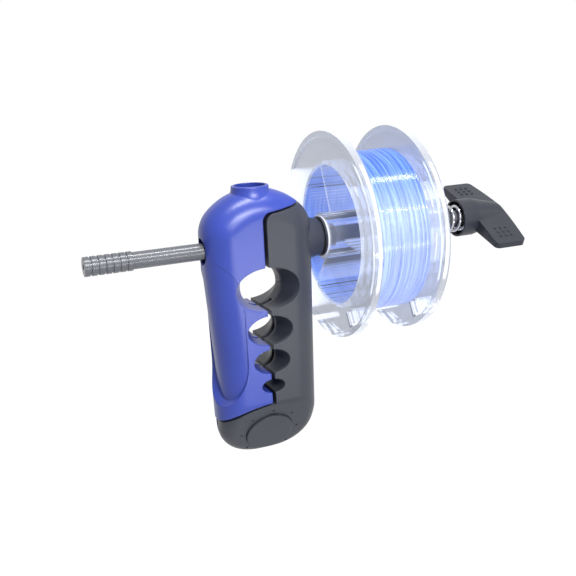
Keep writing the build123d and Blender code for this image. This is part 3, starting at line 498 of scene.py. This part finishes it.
winding = bpy.data.node_groups.new("wound line", "GeometryNodeTree")
winding.interface.new_socket("Geometry", in_out="OUTPUT", socket_type="NodeSocketGeometry")
winding_inputs = {}
for label, kind, value in (
    ("Turns", "NodeSocketFloat", strand_turns),
    ("Points per turn", "NodeSocketInt", points_per_turn),
    ("Coil radius", "NodeSocketFloat", pack_radius + strand_lift),
    ("Width", "NodeSocketFloat", pack_high.x - pack_low.x - 2 * strand_radius),
    ("Left end", "NodeSocketFloat", pack_low.x + strand_radius),
    ("Strand radius", "NodeSocketFloat", strand_radius),
    ("Wander", "NodeSocketFloat", strand_wander),
):
    socket = winding.interface.new_socket(label, in_out="INPUT", socket_type=kind)
    socket.default_value = value
    winding_inputs[label] = (socket.identifier, value)


def add(tree, kind, **values):
    """A new node of that kind in the tree, with its settings."""
    node = tree.nodes.new(kind)
    for key, value in values.items():
        setattr(node, key, value)
    return node


given = add(winding, "NodeGroupInput")
spiral = add(winding, "GeometryNodeCurveSpiral")
winding.links.new(given.outputs["Points per turn"], spiral.inputs["Resolution"])
winding.links.new(given.outputs["Turns"], spiral.inputs["Rotations"])
winding.links.new(given.outputs["Coil radius"], spiral.inputs["Start Radius"])
winding.links.new(given.outputs["Coil radius"], spiral.inputs["End Radius"])
winding.links.new(given.outputs["Width"], spiral.inputs["Height"])
origin = add(winding, "ShaderNodeCombineXYZ")
origin.inputs["Z"].default_value = spindle_z
winding.links.new(given.outputs["Left end"], origin.inputs["X"])
lay = add(winding, "GeometryNodeTransform")
lay.inputs["Rotation"].default_value = (0, pi / 2, 0)
winding.links.new(spiral.outputs["Curve"], lay.inputs["Geometry"])
winding.links.new(origin.outputs["Vector"], lay.inputs["Translation"])
where = add(winding, "GeometryNodeInputPosition")
stretched = add(winding, "ShaderNodeVectorMath", operation="MULTIPLY")
stretched.inputs[1].default_value = wander_scale
winding.links.new(where.outputs["Position"], stretched.inputs[0])
drift = add(winding, "ShaderNodeTexNoise")
drift.inputs["Scale"].default_value = 1.0
drift.inputs["Detail"].default_value = 1.0
winding.links.new(stretched.outputs["Vector"], drift.inputs["Vector"])
centred = add(winding, "ShaderNodeMath", operation="SUBTRACT")
centred.inputs[1].default_value = 0.5
winding.links.new(drift.outputs["Fac"], centred.inputs[0])
shift = add(winding, "ShaderNodeMath", operation="MULTIPLY")
winding.links.new(centred.outputs[0], shift.inputs[0])
winding.links.new(given.outputs["Wander"], shift.inputs[1])
along = add(winding, "ShaderNodeCombineXYZ")
winding.links.new(shift.outputs[0], along.inputs["X"])
wandered = add(winding, "GeometryNodeSetPosition")
winding.links.new(lay.outputs["Geometry"], wandered.inputs["Geometry"])
winding.links.new(along.outputs["Vector"], wandered.inputs["Offset"])
section = add(winding, "GeometryNodeCurvePrimitiveCircle")
section.inputs["Resolution"].default_value = strand_sides
winding.links.new(given.outputs["Strand radius"], section.inputs["Radius"])
tube = add(winding, "GeometryNodeCurveToMesh")
tube.inputs["Fill Caps"].default_value = True
winding.links.new(wandered.outputs["Geometry"], tube.inputs["Curve"])
winding.links.new(section.outputs["Curve"], tube.inputs["Profile Curve"])
round_shading = add(winding, "GeometryNodeSetShadeSmooth")
winding.links.new(tube.outputs["Mesh"], round_shading.inputs["Geometry"])
real = add(winding, "GeometryNodeRealizeInstances")
winding.links.new(round_shading.outputs["Geometry"], real.inputs["Geometry"])
painted = add(winding, "GeometryNodeSetMaterial")
painted.inputs["Material"].default_value = line_material
winding.links.new(real.outputs["Geometry"], painted.inputs["Geometry"])
result = add(winding, "NodeGroupOutput")
winding.links.new(painted.outputs["Geometry"], result.inputs["Geometry"])


def grown(name, tree, inputs):
    """An object with the plain mesh that a tree of geometry nodes makes from these inputs."""
    seed_object = bpy.data.objects.new(name + " tree", bpy.data.meshes.new(name + " tree"))
    scene.collection.objects.link(seed_object)
    modifier = seed_object.modifiers.new("tree", "NODES")
    modifier.node_group = tree
    for identifier, value in inputs.values():
        modifier[identifier] = value
    bpy.context.view_layer.update()
    ready = seed_object.evaluated_get(bpy.context.evaluated_depsgraph_get())
    mesh = bpy.data.meshes.new_from_object(ready)
    mesh.name = name
    bpy.data.objects.remove(seed_object)
    piece = bpy.data.objects.new(name, mesh)
    scene.collection.objects.link(piece)
    return piece


top_layer = grown("line_top_layer", winding, winding_inputs)
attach(top_layer, "spool")
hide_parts("line_outer_layer")
dressed("line_pack", "line_under_layers", line_below, "spool")

# ---- Cone and washers: they centre the spool and press it against the bush ----
# The cone is dark plastic, and the washers on it and in the wing nut's recess are bright zinc-plated steel.
dressed("centring_cone", "centring_cone_dark", dark_plastic, "spool")
bright_steel = metal("bright steel", (0.78, 0.78, 0.80), 0.16)
dressed("cone_washer", "cone_washer_steel", bright_steel, "spool")
dressed("spring_seat", "spring_seat_steel", bright_steel, "thrust")

# ---- Spring: bright steel wire, wound with open ends, between the two washers ----
# It is a copy of the CAD coil, half a millimetre short at the nut's end.
spring_gap = 0.5 * mm
spring_steel = metal("spring steel", (0.52, 0.52, 0.55), 0.14)
spring = dressed("tension_spring", "tension_spring_steel", spring_steel, None)
spring_low, spring_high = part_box("tension_spring")
spring_short = 1 - spring_gap / (spring_high.x - spring_low.x)
for point in spring.data.vertices:
    point.co.x = spring_low.x + (point.co.x - spring_low.x) * spring_short
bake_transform(spring)

# ---- Wing nut: dark grey plastic on a brass insert, which sets the spool's drag ----
# It is moulded over the insert, has two wings dotted for the thumb, and turns on the spindle's end.
nut_grey = (0.024, 0.026, 0.035)
worn_nut = (0.031, 0.033, 0.044)
nut_plastic = moulded_plastic("wing nut plastic", nut_grey, worn_nut, 0.38, edge=0.35, shine=0.28)
dressed("wing_nut", "wing_nut_grey", nut_plastic, "nut")
dressed("nut_insert", "nut_insert_brass", brass, "nut")
